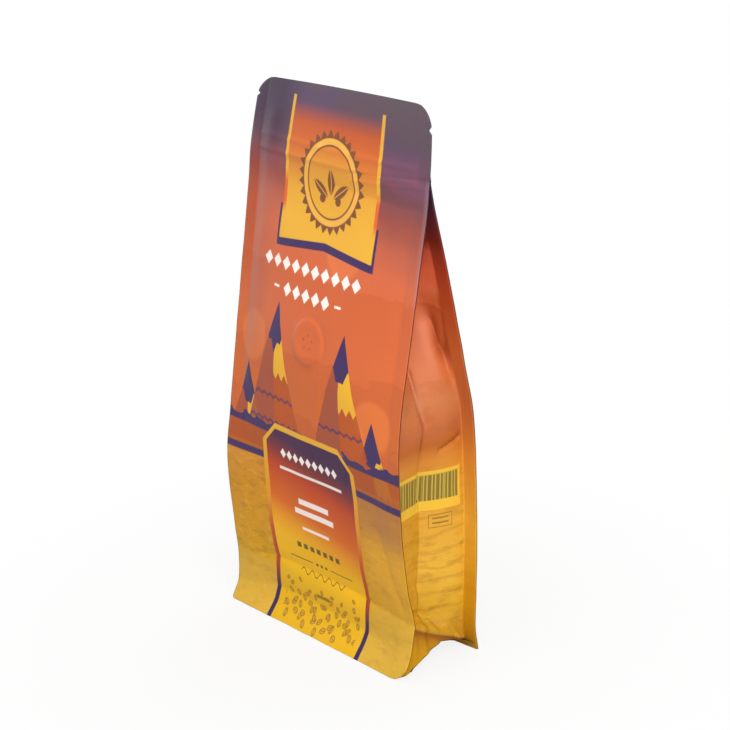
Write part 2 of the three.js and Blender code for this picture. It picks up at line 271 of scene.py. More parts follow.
def valve_plane(z):
    """Depth of the plane that the valve lies in, square to the film round it."""
    step = 4
    lean = (FRONT_MIDDLE(VALVE_HEIGHT + step) - FRONT_MIDDLE(VALVE_HEIGHT - step)) / (2 * step)
    return FRONT_MIDDLE(VALVE_HEIGHT) + lean * (z - VALVE_HEIGHT)


def over_valve(free, x, z):
    """The front film drawn over the valve: flat round it, up over its ring and into its dish."""
    radius = np.hypot(x, z - VALVE_HEIGHT)
    held = fade(radius, VALVE_RADIUS, VALVE_RADIUS + VALVE_APRON)
    ring = fade(radius, VALVE_RADIUS, VALVE_RADIUS + VALVE_SHOULDER)
    dish_edge = VALVE_RADIUS - VALVE_RIM_WIDTH + 0.4
    dish = fade(radius, dish_edge - VALVE_SHOULDER, dish_edge)
    return lerp(free, valve_plane(z), held) - VALVE_RISE * ring + VALVE_DIP * dish


def fin_seal_relief(x, z):
    """The seal's groove at the root of a fin, and the fin's faint ripples."""
    groove = -0.16 * np.exp(-(((np.abs(x) - ROOT - 0.6) / 0.8) ** 2))
    on_fin = smoothstep(np.abs(x), ROOT - 1, ROOT + 2)
    return groove + 0.12 * on_fin * wander(x, z, 9, 31)


def filled_share(x, z, top):
    """1 where the contents fill out a panel, 0 at its fins, its foot and its top."""
    inside = fade(np.abs(x), ROOT - 8, ROOT + 1)
    return inside * smoothstep(z, *FILL_FOOT) * fade(z, *top)


def foot_crumple(x, z, seed):
    """Small crumples low on a panel."""
    return 0.25 * fade(z, *CRUMPLE_TOP) * (1 - np.abs(wander(x, z, 11, seed)))


def front_relief(x, z):
    """How far the front film stands off its smooth form."""
    slack = filled_share(x, z, FRONT_FILL_TOP) * bumps(x, z, FRONT_SLACK)
    pressed = 0.1 * wander(x, z, 17, 14) * smoothstep(z, *PRESSED_FOOT)
    relief = slack + foot_crumple(x, z, 13) + pressed + fin_seal_relief(x, z)
    return relief + folds(x, z, FRONT_BULGES, 2) + folds(x, z, FRONT_CREASES, 1)


def back_relief(x, z):
    """How far the back film stands off its smooth form."""
    filled = filled_share(x, z, BACK_FILL_TOP)
    slack = bumps(x, z, BACK_SLACK) + folds(x, z, BACK_CREASES, 1)
    return filled * slack + foot_crumple(x, z, 23) + fin_seal_relief(x, z)


def front_face(x, z):
    """Depth of the front film's printed face, without the zipper ribs."""
    free = panel_depth(FRONT_LEFT, FRONT_MIDDLE, FRONT_RIGHT, x, z) - front_relief(x, z)
    return over_valve(free, x, z)


def front_outer(x, z):
    """Depth of the front film's printed face."""
    return front_face(x, z) - rib_relief(x, z)


def back_outer(x, z):
    """Depth of the back film's printed face: pressed against the front film above the gussets."""
    layers = lerp(4, 2, smoothstep(z, OPENING_TOP, OPENING_TOP + 3))
    zipped = smoothstep(z, GUSSET_TOP - 1, GUSSET_TOP + 1) * fade(z, *ZIPPER_GAP_TOP)
    between = ZIPPER_GAP * zipped * fade(np.abs(x), ROOT - 2, ROOT)
    pressed = front_face(x, z) + layers * LAYER + between
    hanging = panel_depth(BACK_LEFT, BACK_MIDDLE, BACK_RIGHT, x, z) + back_relief(x, z)
    parted = lerp(hanging, pressed, smoothstep(z, GUSSET_TOP, OPENING_TOP))
    return np.maximum(pressed, parted) + rib_relief(x, z)


def fin_faces(x, z):
    """Depths of the two sides of the air between a front and a rear fin."""
    front = front_outer(x, z) + 2 * LAYER
    return front, np.maximum(back_outer(x, z) - 2 * LAYER, front + LEAST_GAP)


def top_drop(x, level):
    """How far the top edge's curve brings down a place of the film."""
    return TOP_DROP * smoothstep(level, TOP_DROP_FROM, HEIGHT) * ((HALF - x) / WIDTH) ** 2


def foot_lift(x, level):
    """How far the back panel's bottom corners curl up."""
    corner = smoothstep(np.abs(x), FOOT_LIFT_FROM, HALF)
    return FOOT_LIFT * corner * np.maximum(0, 1 - level / FOOT_LIFT_TOP)


def flat_foot(x, level):
    """The front panel's foot stays on the ground."""
    return 0 * x * level


def reach(z, bottom_radius):
    """Half the width of a panel at a height, narrowed by its corners and tear notches."""
    above = np.clip(z - (HEIGHT - CORNER_RADIUS), 0, CORNER_RADIUS)
    below = np.clip(bottom_radius - z, 0, bottom_radius)
    top_inset = CORNER_RADIUS - np.sqrt(CORNER_RADIUS**2 - above**2)
    bottom_inset = bottom_radius - np.sqrt(bottom_radius**2 - below**2)
    notch = NOTCH_DEPTH * np.maximum(0, 1 - np.abs(z - NOTCH_HEIGHT) / NOTCH_HALF_OPENING)
    return HALF - top_inset - bottom_inset - notch


def front_reach(side, z):
    """The front panel has one crisp and one soft bottom corner."""
    return np.where(np.asarray(side) > 0, reach(z, SOFT_CORNER_RADIUS), reach(z, CRISP_CORNER_RADIUS))


def back_reach(side, z):
    return reach(z, BACK_CORNER_RADIUS) + 0 * np.asarray(side)


def film_levels():
    """Heights of the rows of a panel: closer at its corners, its notches and the valve."""
    quarter = np.linspace(0, np.pi / 2, CORNER_ROWS)
    levels = np.concatenate([
        np.arange(0, HEIGHT, STEP),
        np.arange(VALVE_HEIGHT - FINE_REACH, VALVE_HEIGHT + FINE_REACH, FINE_STEP),
        np.arange(ZIPPER_HEIGHTS[0] - 4, ZIPPER_HEIGHTS[1] + 4, FINE_STEP),
        SOFT_CORNER_RADIUS * (1 - np.cos(quarter)),
        HEIGHT - CORNER_RADIUS * (1 - np.sin(quarter)),
        NOTCH_HEIGHT + NOTCH_HALF_OPENING * np.linspace(-1, 1, 9),
    ])
    levels = np.unique(np.round(levels, 1))
    return levels[np.diff(levels, prepend=-STEP) > LEAST_ROW_GAP]


def panel_grid(outer, half_width, lift):
    """Points of a panel's printed face, from the bottom up, and their print places."""
    columns = np.concatenate([
        np.arange(-HALF, -FINE_REACH, STEP),
        np.arange(-FINE_REACH, FINE_REACH, FINE_STEP),
        np.arange(FINE_REACH, HALF + STEP / 2, STEP),
    ])
    level = film_levels()[:, None]
    edge_share = np.clip((np.abs(columns) - HALF / 2) / (HALF / 2), 0, 1)
    inset = HALF - half_width(np.sign(columns), level)
    x = columns - np.sign(columns) * inset * edge_share
    z = level - top_drop(x, level) + lift(x, level)
    return np.stack([x, outer(x, z), z], -1), np.stack([x, z], -1)


def base_height(x, share):
    """Height of the base film: on the ground in the middle, up to the flaps, arched at the sides."""
    to_flap = BASE_SEAL * smoothstep(np.abs(2 * share - 1), FLAT_BASE_SHARE, 1)
    beyond_crest = (share - ARCH_CREST_AT) / (1 - ARCH_CREST_AT)
    rising = ARCH_CREST * share / ARCH_CREST_AT
    arch = np.where(beyond_crest < 0, rising, lerp(ARCH_CREST, ARCH_REAR, beyond_crest))
    return lerp(to_flap, arch, smoothstep(np.abs(x), FLAT_BASE_HALF, ROOT - 2))


def gusset_film(side, z, share, middle):
    """Points of a gusset between its fin roots. share runs from the front root to the rear one."""
    root = ROOT + FRONT_WING * np.maximum(0, 1 - z / FRONT_WING_TOP) ** 2 * (1 - share)
    front, rear = fin_faces(side * root, z)
    fold = np.where(share < middle, share / middle, (1 - share) / (1 - middle))
    puff = np.sin(np.pi * np.clip((share - middle) / (1 - middle), 0, 1))
    leaned = z + GUSSET_SLOPE * fade(z, 0, GUSSET_SLOPE_TOP) * lerp(front, rear, share)
    depth = np.minimum(FOLD_DEPTH(leaned), FOLD_DEPTH(z) + DEEPEST_SLOPED_FOLD)
    limit = lerp(front_reach(side, z), back_reach(side, z), share) - FILM
    x = side * np.minimum(root - depth * fold + REAR_PUFF(z) * puff, limit)
    nearest, furthest = fin_faces(x, z)
    return np.stack([x, lerp(nearest, furthest, share), z], -1)


def fold_share(side, z):
    """Where across a gusset its middle fold lies."""
    front, rear = fin_faces(side * ROOT, z)
    return np.clip(front / (front - rear), *MIDDLE_FOLD_RANGE)


def gusset_height(level, share):
    """Heights of a gusset's row: rows start on the base film's edge and end level at the top."""
    bottom = base_height(HALF, share)
    return bottom + level * (1 - bottom / GUSSET_FILM_TOP)


def gusset_grid(side):
    """Points of a gusset's printed face and its fin strips, and their print places."""
    level = np.append(np.arange(0, GUSSET_FILM_TOP, GUSSET_STEP), GUSSET_FILM_TOP)[:, None]
    middle = 0.5
    for _ in range(4):
        middle = fold_share(side, gusset_height(level, middle))
    half = 1 - np.linspace(1, 0, GUSSET_POINTS) ** FOLD_CROWDING
    share = np.concatenate([half * middle, lerp(1, middle, half[-2::-1])], 1)
    z = gusset_height(level, share)
    points = gusset_film(side, z, share, middle)
    across = np.where(share < middle, share / middle - 1, (share - middle) / (1 - middle)) * GUSSET_FLAT / 2
    normal = grid_normals(points, (side, 0, 0))
    points = points + normal * gusset_relief(across, z)[..., None]
    steps = np.linspace(1, 0, FIN_POINTS)[:-1]
    front = fin_strip(points[:, :1], front_reach(side, level), steps, 0, 0)
    rear = fin_strip(points[:, -1:], back_reach(side, level), steps[::-1], 1, FOOT_LIFT)
    points = np.concatenate([front, points, rear], 1)
    fin = FIN_WIDTH * steps
    across = np.concatenate([across[:, :1] - fin, across, across[:, -1:] + fin[::-1]], 1)
    return points, np.stack([across, points[..., 2]], -1)


def fin_strip(root, tip_reach, steps, which, foot):
    """The sealed strip of a gusset from its fin's root out to the fin's cut edge."""
    side = np.sign(root[:1, :, 0])
    x = lerp(root[..., 0], side * tip_reach, steps)
    level_share = np.linspace(0, 1, len(root))[:, None]
    bottom = lerp(root[:1, :, 2], foot, np.minimum(1, 3 * steps))
    z = root[..., 2] + (bottom - root[:1, :, 2]) * (1 - level_share)
    return np.stack([x, fin_faces(x, z)[which], z], -1)


def gusset_relief(across, z):
    """Folds and crumples of a gusset, which fade towards its fin roots."""
    inside = fade(np.abs(across), GUSSET_FLAT / 2 - 2, GUSSET_FLAT / 2)
    slack = 0.3 * wander(across, z, 15, 41) + 0.2 * (1 - np.abs(wander(across, z, 9, 42)))
    crumple = 0.5 * fade(z, *GUSSET_CRUMPLE_TOP) * (1 - 2 * np.abs(wander(across, z, 7, 43)))
    folded = folds(across, z, GUSSET_BULGES, 2) + folds(across, z, GUSSET_CREASES, 1)
    return inside * fade(z, *GUSSET_FILL_TOP) * (slack + crumple + folded)


def base_grid(gussets):
    """Points of the base film's underside, from the front flap's foot to the back one's."""
    rows, columns = BASE_POINTS
    column = np.linspace(-1, 1, columns)
    share = np.linspace(0, 1, rows)[:, None]
    left, right = (side_edge(points, share) for points in gussets)
    x = np.where(column < 0, -column * left, column * right)
    z = base_height(x, share)
    front, back = fin_faces(x, z)
    bottom = np.stack([x, lerp(front[:1], back[-1:], share), z], -1)
    rise = np.linspace(0, 1, FLAP_POINTS)[:-1, None]
    front_flap = flap(bottom[:1], rise, 0, flat_foot)
    back_flap = flap(bottom[-1:], rise, 1, foot_lift)[::-1]
    points = np.concatenate([front_flap, bottom, back_flap])
    along = np.linspace(-35, 35, len(points))[:, None] + 0 * points[..., 0]
    return points, np.stack([points[..., 0], along], -1)


def side_edge(points, share):
    """How far out a gusset's bottom edge stands at each share of the way to the back."""
    edge = points[0]
    return np.interp(share, np.linspace(0, 1, len(edge)), edge[:, 0])


def flap(crest, rise, which, lift):
    """The base film's seal inside a panel's foot."""
    x = crest[..., 0] + 0 * rise
    z = lerp(lift(x, 0), crest[..., 2], rise)
    return np.stack([x, fin_faces(x, z)[which], z], -1)


def grid_crosses(points):
    """Normals of a grid of points, longer where its cells are larger."""
    return np.cross(np.gradient(points, axis=1), np.gradient(points, axis=0))


def grid_normals(points, outward):
    """Unit normals of a grid of points, on the side that outward mostly faces."""
    normal = grid_crosses(points)
    normal = normal / np.maximum(np.linalg.norm(normal, axis=-1, keepdims=True), 1e-9)
    return normal * np.sign(np.dot(normal.mean((0, 1)), outward))


def sheet_faces(rows, columns):
    """Faces over a sheet's printed and inner points, and which material each takes."""
    index = np.arange(rows * columns).reshape(rows, columns)
    quads = np.stack([index[:-1, :-1], index[:-1, 1:], index[1:, 1:], index[1:, :-1]], -1).reshape(-1, 4)
    rim = np.concatenate([index[0, :-1], index[:-1, -1], index[-1, :0:-1], index[:0:-1, 0]])
    after = np.roll(rim, -1)
    shift = rows * columns
    walls = np.stack([after, rim, rim + shift, after + shift], -1)
    faces = np.concatenate([quads, quads[:, ::-1] + shift, walls])
    return faces, np.repeat([0, 1, 2], [len(quads), len(quads), len(walls)])


def make_sheet(name, points, print_places, outward, materials):
    """A closed sheet of film: printed face, inner face and cut edge, from one grid of points."""
    rows, columns = points.shape[:2]
    inner = points - grid_normals(points, outward) * FILM
    vertices = np.concatenate([points.reshape(-1, 3), inner.reshape(-1, 3)]) * MM
    faces, kind = sheet_faces(rows, columns)
    if np.dot(grid_crosses(points).sum((0, 1)), outward) < 0:
        faces = faces[:, ::-1]
    mesh = bpy.data.meshes.new(name)
    mesh.from_pydata(vertices.tolist(), [], faces.tolist())
    mesh.polygons.foreach_set("material_index", kind.astype(np.int32))
    mesh.polygons.foreach_set("use_smooth", kind < 2)
    for material in materials:
        mesh.materials.append(material)
    add_maps(mesh, rows, columns, print_places)
    piece = add_object(name, mesh)
    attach(piece, "root")
    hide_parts("pouch")


def add_object(name, data):
    """An object of the scene with its mesh, light or camera."""
    made = bpy.data.objects.new(name, data)
    bpy.context.scene.collection.objects.link(made)
    return made


def add_maps(mesh, rows, columns, print_places):
    """The map that places the print, and one with both faces of the sheet side by side."""
    corners = np.zeros(len(mesh.loops), np.int32)
    mesh.loops.foreach_get("vertex_index", corners)
    place = np.tile(print_places.reshape(-1, 2) * UV_SCALE, (2, 1))
    across, up = np.meshgrid(np.linspace(0.01, 0.49, columns), np.linspace(0.01, 0.99, rows))
    flat = np.stack([across, up], -1).reshape(-1, 2)
    both = np.concatenate([flat, flat + (0.5, 0)])
    for name, values in (("film", place), ("OFBake", both)):
        layer = mesh.uv_layers.new(name=name)
        layer.data.foreach_set("uv", values[corners].astype(np.float32).ravel())


# Inks and finishes

def linear(hex_colour):
    """A colour as shader numbers from its #rrggbb name."""
    values = [int(hex_colour[i:i + 2], 16) / 255 for i in (1, 3, 5)]
    return tuple(v / 12.92 if v <= 0.04045 else ((v + 0.055) / 1.055) ** 2.4 for v in values) + (1,)


def feed(tree, node, values):
    """Links fields and sockets to a node's inputs, and sets plain values on them."""
    for slot, value in values.items():
        if isinstance(value, Field):
            value = value.socket
        if isinstance(value, bpy.types.NodeSocket):
            tree.links.new(value, node.inputs[slot])
        else:
            node.inputs[slot].default_value = value


def add_node(tree, kind, values, **settings):
    """A shader node with its settings made and its inputs fed."""
    node = tree.nodes.new(kind)
    for setting, value in settings.items():
        setattr(node, setting, value)
    feed(tree, node, values)
    return node


def math_node(operation):
    """A method of Field that puts the field and what follows through a math node."""
    def method(field, *others):
        values = dict(enumerate((field, *others)))
        node = add_node(field.tree, "ShaderNodeMath", values, operation=operation)
        return Field(field.tree, node.outputs[0])

    return method


class Field:
    """A number that varies over a film, as the output of a shader node."""

    __add__ = __radd__ = math_node("ADD")
    __sub__ = math_node("SUBTRACT")
    __mul__ = __rmul__ = math_node("MULTIPLY")
    __truediv__ = math_node("DIVIDE")
    __abs__ = math_node("ABSOLUTE")
    least = math_node("MINIMUM")
    most = math_node("MAXIMUM")
    root = math_node("SQRT")
    floor = math_node("FLOOR")
    fraction = math_node("FRACT")
    sine = math_node("SINE")
    cosine = math_node("COSINE")
    bearing = math_node("ARCTAN2")

    def __init__(self, tree, socket):
        self.tree = tree
        self.socket = socket

    def __rsub__(self, other):
        return self * -1 + other

    def between(self, low, high):
        """0 below low, 1 above high, and a smooth rise between; falls where low is above high."""
        values = {"Value": self, "From Min": low, "From Max": high}
        node = add_node(self.tree, "ShaderNodeMapRange", values, interpolation_type="SMOOTHSTEP")
        return Field(self.tree, node.outputs["Result"])

    def within(self, start, full, fading, end):
        """1 from full to fading, 0 before start and after end, and smooth between."""
        return self.between(start, full) * self.between(end, fading)


def noise_field(tree, place, size, detail, roughness=0.5):
    """Noise from 0 to 1, with clouds about size across."""
    values = {"Vector": place, "Scale": 1 / size, "Detail": detail, "Roughness": roughness}
    return Field(tree, add_node(tree, "ShaderNodeTexNoise", values).outputs["Fac"])


def colour_ramp(tree, field, stops):
    """Colours by a field's value, with stops as (value, colour) from low to high."""
    low, high = stops[0][0], stops[-1][0]
    node = add_node(tree, "ShaderNodeValToRGB", {0: (field - low) / (high - low)})
    elements = node.color_ramp.elements
    while len(elements) < len(stops):
        elements.new(0.5)
    for element, (value, colour) in zip(elements, stops):
        element.position = (value - low) / (high - low)
        element.color = linear(colour)
    return node.outputs["Color"]


class Ink:
    """The print of one film. A shape is a field in millimetres, positive inside the shape."""

    def __init__(self, tree):
        self.tree = tree
        film = add_node(tree, "ShaderNodeUVMap", {}, uv_map="film").outputs[0]
        values = {0: film, "Scale": 1 / UV_SCALE}
        self.place = add_node(tree, "ShaderNodeVectorMath", values, operation="SCALE").outputs[0]
        split = add_node(tree, "ShaderNodeSeparateXYZ", {0: self.place})
        self.x = Field(tree, split.outputs["X"])
        self.z = Field(tree, split.outputs["Y"])
        self.colour = None

    def ramp(self, field, stops):
        return colour_ramp(self.tree, field, stops)

    def noise(self, size, stretch=(1, 1), detail=3, roughness=0.55, shift=0):
        """Noise from 0 to 1 with clouds about size across, drawn out by stretch."""
        scale = (1 / (size * stretch[0]), 1 / (size * stretch[1]), 1)
        values = {"Vector": self.place, "Scale": scale, "Location": (shift, shift, shift)}
        mapping = add_node(self.tree, "ShaderNodeMapping", values)
        return noise_field(self.tree, mapping.outputs[0], 1, detail, roughness)

    def lay(self, colour, cover):
        """Lays a colour, or a ramp's colours, over what is there, where cover is 1."""
        upper = linear(colour) if isinstance(colour, str) else colour
        values = {"Factor": cover, "A": self.colour, "B": upper}
        self.colour = add_node(self.tree, "ShaderNodeMix", values, data_type="RGBA").outputs["Result"]

    def stamp(self, colour, shape, softness=0.3, strength=1):
        """Lays a colour inside a shape, with a soft outline."""
        cover = shape.between(-softness, softness)
        self.lay(colour, cover * strength if strength != 1 else cover)

    def disc(self, x, z, radius):
        across, up = self.x - x, self.z - z
        return radius - (across * across + up * up).root()

    def box(self, left, right, bottom, top):
        return (self.x - left).least(right - self.x).least(self.z - bottom).least(top - self.z)

    def row(self, spacing, start=0):
        """Distance from the nearest of evenly spaced upright lines, one of them at start."""
        return abs(((self.x - start) / spacing + 0.5).fraction() - 0.5) * spacing


# Places of the print: heights, and half widths from the middle line
FIELDS_TOP = 84
HILLS_FOOT = 82
HORIZON = (77, 95)
CLOUD_BANKS = [(133, 2), (166, 11), (104, 17)]  # height and seed
PALE_ROUNDS = [(43, 112, 11), (31, 104, 8), (14, 180, 12), (-44, 132, 11)]  # place and radius
PLAQUE_HALF = 31
PLAQUE_FOOT = 177.5
PLAQUE_NOTCH = 3
PLAQUE_TOP = 238
MEDALLION = (206, 22)  # height and radius
RAYS = 28
LEAF_LENGTH = 9.5
LABEL_MIDDLE = -2.25
LABEL_HALF = 29.25
LABEL_TOP = 93.5
LABEL_CHAMFER = 7
# Rows of seeds: height, spacing, half width of a seed, and a number that strews them
SEED_ROWS = [
    (3, 4.3, 1.2, 0), (6.5, 3.9, 1.15, 2), (10, 4.5, 1.1, 4), (13.5, 5.3, 1.05, 1), (17.5, 7.3, 0.9, 3),
]
# Bars of the label: height, half width and half height
LABEL_BARS = [(75.5, 21, 0.7), (62, 10, 1.3), (57, 13, 1.3), (49, 9, 0.7)]
LABEL_LOZENGES = 83
LABEL_SQUARES = 39.5
LABEL_RULE = 32
LABEL_WAVE = 26
LABEL_FOOT_BAR = 16.5
LOZENGE_ROWS = [(167.5, 10), (157, 5)]  # height, and how many lozenges
# Hills: place and height of the peak, and how steep
FRONT_HILLS = [(-46, 120, 2.6), (43, 114, 2.6), (-25, 151, 2.9), (23, 147, 2.9)]
BACK_HILLS = [(-38, 132, 2.6), (34, 128, 2.6), (2, 146, 2.6)]
PINHOLE_RING = 3  # from the valve's middle to a pinhole

# Inks: ramps as (height, colour) and plain colours
SKY = [
    (0, "#c2622a"), (115, "#c3622d"), (135, "#c56236"), (150, "#c66137"), (165, "#c86139"),
    (178, "#c46240"), (190, "#b05a44"), (200, "#91493f"), (210, "#70434a"), (219, "#644453"),
    (229, "#5b4656"), (240, "#5b4954"), (252, "#5c4e56"),
]
GROUND = [
    (0, "#c89c30"), (14, "#c89a24"), (26, "#c29008"), (45, "#c48a0c"), (60, "#c28412"),
    (74, "#c08028"), (84, "#c88c2a"), (96, "#c6702e"),
]
# The side's ramp turns dark plum near the top: partly its print, partly painted shade inside the opening.
SIDE = [
    (0, "#ae7c14"), (14, "#b78820"), (22, "#c79820"), (40, "#d6a434"), (62, "#cf9830"), (80, "#cb8c2c"),
    (92, "#c87e2c"), (100, "#ad5c20"), (108, "#b86234"), (118, "#c27444"), (127, "#c06838"),
    (140, "#c46a42"), (152, "#c4643c"), (165, "#ce6a46"), (176, "#dc6c46"), (184, "#cc5c40"),
    (189, "#842e24"), (196, "#722c30"), (205, "#5a2c3c"), (214, "#34223c"),
]
# The rear fin's strip: darker than the side, partly its seal and partly painted shade.
SIDE_FIN = [
    (0, "#b47a0c"), (30, "#c88c12"), (60, "#dea434"), (90, "#d48632"), (112, "#be6834"), (140, "#c46834"),
    (166, "#b4481e"), (176, "#a0381c"), (190, "#7e2a1e"), (200, "#682c37"), (214, "#34203c"),
]
# Cut edges: dark tones of the print, as painted shade between the films.
EDGE_SHADE = [
    (0, "#86620f"), (60, "#7e5610"), (92, "#6c4810"), (104, "#5a321c"), (158, "#4a2420"),
    (176, "#2c1c26"), (246, "#4c4248"),
]
PLUM = "#3f2d58"
RUST = "#a44d1c"
YELLOW = "#dca52e"
OLIVE = "#65541a"
BROWN = "#7a4a2e"
CHALK = "#e9e0da"


def paint_sky(ink, slant=0.12):
    """Dusk: a slanted gradient with drifting cloud, darker banks and a few pale rounds, with painted sheen,
    shade and highlight near the fins.
    """
    height = ink.z + ink.x * slant + (ink.noise(52, (1.3, 0.8)) - 0.5) * 24
    ink.colour = ink.ramp(height, SKY)
    for bank, shift in CLOUD_BANKS:
        tops = (ink.noise(17, (1.4, 0.7), shift=shift) - 0.5) * 34
        below = (bank + tops - ink.z).between(-0.6, 0.6)
        ink.lay("#b0532c", below * ink.z.between(bank - 30, bank) * 0.35)
    for x, z, radius in PALE_ROUNDS:
        ink.stamp("#ee8644", ink.disc(x, z, radius), 1.5, 0.3)
    violet = ink.noise(24, (1.5, 0.8), shift=23)
    ink.lay("#54446a", violet.between(0.5, 0.66) * ink.z.between(220, 232) * 0.4)
    ink.lay("#7a4a62", violet.between(0.42, 0.62) * ink.z.within(204, 210, 218, 228) * 0.5)
    ink.lay("#3a2e40", ink.x.between(-20, -42) * ink.z.between(206, 232) * 0.75)
    left_edge = ink.x.between(-50, -54)
    # Painted light beside the left fin: a greyish band stands in for a soft sheen over print shaded there.
    sheen_band = ink.x.between(-32, -44) - left_edge
    ink.lay("#86605e", sheen_band * ink.z.within(112, 140, 196, 212) * 0.3)
    # Painted shade: the left fin is laid darker and redder.
    ink.lay("#8a2c10", left_edge * ink.z.within(140, 185, 204, 218) * 0.45)
    russet = ink.noise(15, (1.6, 0.7), shift=29)
    ink.lay("#94473f", russet.between(0.45, 0.7) * ink.z.within(198, 206, 212, 222) * 0.35)
    # Painted highlight: a pale greyish line along the right fin's edge.
    ink.lay("#8f7f86", ink.x.between(57.2, 58.8) * ink.z.within(158, 172, 214, 217) * 0.25)


def paint_ground(ink):
    """Mottled fields up to a horizon that rolls a little, paler at the right."""
    top = FIELDS_TOP + (ink.noise(60, shift=3) - 0.5) * 10
    ink.stamp(ink.ramp(ink.z, GROUND), top - ink.z, 1.5)
    below = (FIELDS_TOP - ink.z).between(0, 14)
    patches = ink.noise(4.5, (1.7, 0.8), 4, 0.65, shift=5)
    ink.lay("#835a16", patches.between(0.48, 0.68) * below * 0.42)
    sheaves = ink.noise(4, (1.6, 0.7), 4, 0.7, shift=9)
    ink.lay("#dba640", sheaves.between(0.52, 0.68) * below * 0.5)
    ink.lay("#e0a832", ink.x.between(22, 40) * ink.z.within(16, 30, 70, 84) * 0.45)
    # Painted light: the flap below the lowest crease is laid paler, as lit from above.
    ink.lay("#c49c3a", ink.z.between(27, 23) * 0.5)


def paint_hills(ink, peaks):
    """Steep hills with a shaded side: ragged plum caps, a yellow band and dark strata."""
    ragged = ink.row(4.6) * 1.5
    for x, top, slope in peaks:
        body = (top - ink.z - abs(ink.x - x) * slope).least(ink.z - HILLS_FOOT)
        shaded = body.least(x - ink.x - 1 + ragged * 0.6)
        lit = body.least(ink.x - x + 1 - ragged * 0.6)
        ink.stamp("#ad4d1a", body, 0.4, 0.85)
        ink.stamp("#8f4a3c", shaded, 0.4, 0.6)
        ink.stamp(YELLOW, lit.least(ink.z - top + 34 - ragged).least(top - 15 - ink.z))
        ink.stamp(PLUM, body.least(ink.z - top + 20 + ragged * 0.8 - abs(ink.x - x) * 1.1))
        for drop in (42, 54):
            ink.stamp(PLUM, body.least(0.7 - abs(ink.z - top + drop + ragged * 0.4)), 0.3, 0.7)


def paint_horizon(ink):
    """A band of dark bushes over a rust bank."""
    low, high = HORIZON
    top = high + (ink.noise(9, (1, 0.6), 2, shift=7) - 0.5) * 12
    ink.stamp(RUST, (top - 3 - ink.z).least(ink.z - low), 0.5, 0.85)
    ink.stamp(PLUM, (top - ink.z).least(ink.z - (high - 4.5)), 0.4)
    ink.stamp(PLUM, ink.box(-70, 70, low, low + 3.2), 0.4)


def paint_plaque(ink):
    """A plaque, orange fading into yellow, with a notched foot and a rayed medallion."""
    foot = PLAQUE_FOOT + PLAQUE_NOTCH * (1 - (abs(ink.x) / PLAQUE_HALF).least(1))
    plaque = (PLAQUE_HALF - abs(ink.x)).least(ink.z - foot)
    fill = ink.ramp(ink.z, [
        (176, "#dca637"), (200, "#d99f34"), (211, "#cb7a30"), (219, "#c5652f"), (230, "#b4522e"),
    ])
    border = (PLAQUE_HALF + 2.4 - abs(ink.x)).least(ink.z - foot + 3.4)
    ink.stamp(PLUM, border.least(192 - ink.z))
    ink.lay(fill, plaque.between(-0.25, 0.25) * ink.z.between(PLAQUE_TOP, 227))
    side_line = (1 - abs(abs(ink.x) - PLAQUE_HALF + 0.1)).least(ink.z - foot)
    line_colour = ink.ramp(ink.z, [
        (188, YELLOW), (193, "#d4602c"), (202, "#d4602c"), (207, YELLOW), (240, "#cf9a44"),
    ])
    ink.stamp(line_colour, side_line.least(PLAQUE_TOP + 0.5 - ink.z))
    paint_medallion(ink, *MEDALLION)


def paint_medallion(ink, centre, radius):
    """A ring of rays round a disc that holds a sprig of three leaves."""
    across, up = ink.x, ink.z - centre
    distance = (across * across + up * up).root()
    turn = up.bearing(across)
    rays = abs((turn * (RAYS / (2 * np.pi))).fraction() - 0.5)
    ink.stamp(BROWN, radius - distance - rays * 6)
    ink.stamp("#e0a548", radius - 3.6 - distance)
    ink.stamp(BROWN, radius - 6.2 - distance)
    core = ink.ramp(up, [(-16, "#daa334"), (2, "#d49434"), (16, "#c97232")])
    ink.stamp(core, radius - 7 - distance)
    for lean in (-55, 0, 55):
        paint_leaf(ink, centre - 8, np.radians(lean))
    for x in (-5.2, 5.2):
        ink.stamp(BROWN, ink.disc(x, centre - 7.4, 1.9), 0.2)


def paint_leaf(ink, foot, lean):
    """A pointed leaf with a pale midrib, growing from a point on the middle line."""
    up = ink.z - foot
    along = up * np.cos(lean) + ink.x * np.sin(lean) - LEAF_LENGTH * 0.85
    aside = abs(ink.x * np.cos(lean) - up * np.sin(lean))
    bow = LEAF_LENGTH * 0.9
    offset = aside + bow * 0.75
    leaf = bow - (along * along * 0.95 + offset * offset).root()
    ink.stamp(BROWN, leaf, 0.25)
    ink.stamp("#d9a044", leaf.least(0.3 - aside) - 0.1, 0.2)


def paint_pinholes(ink):
    """Five pinholes over the valve, painted as dark dots: painted shade of the holes."""
    for turn in np.radians([90, 162, 234, 306, 18]):
        hole = ink.disc(PINHOLE_RING * np.cos(turn), VALVE_HEIGHT + PINHOLE_RING * np.sin(turn), 0.45)
        ink.stamp("#8c4626", hole, 0.25, 0.8)


def paint_rules(ink):
    """Two rows of white lozenges between short rules."""
    middle, spacing, size = -6.5, 7, 2.9
    for z, count in LOZENGE_ROWS:
        half_width = count * spacing / 2
        lozenges = size - ink.row(spacing, middle + half_width - spacing / 2) - abs(ink.z - z) * 0.95
        ink.stamp(CHALK, lozenges.least(half_width - abs(ink.x - middle)), 0.25)
    beside = abs(abs(ink.x - middle) - 22.5)
    ink.stamp(CHALK, (2 - beside).least(0.5 - abs(ink.z - LOZENGE_ROWS[1][0])), 0.2)


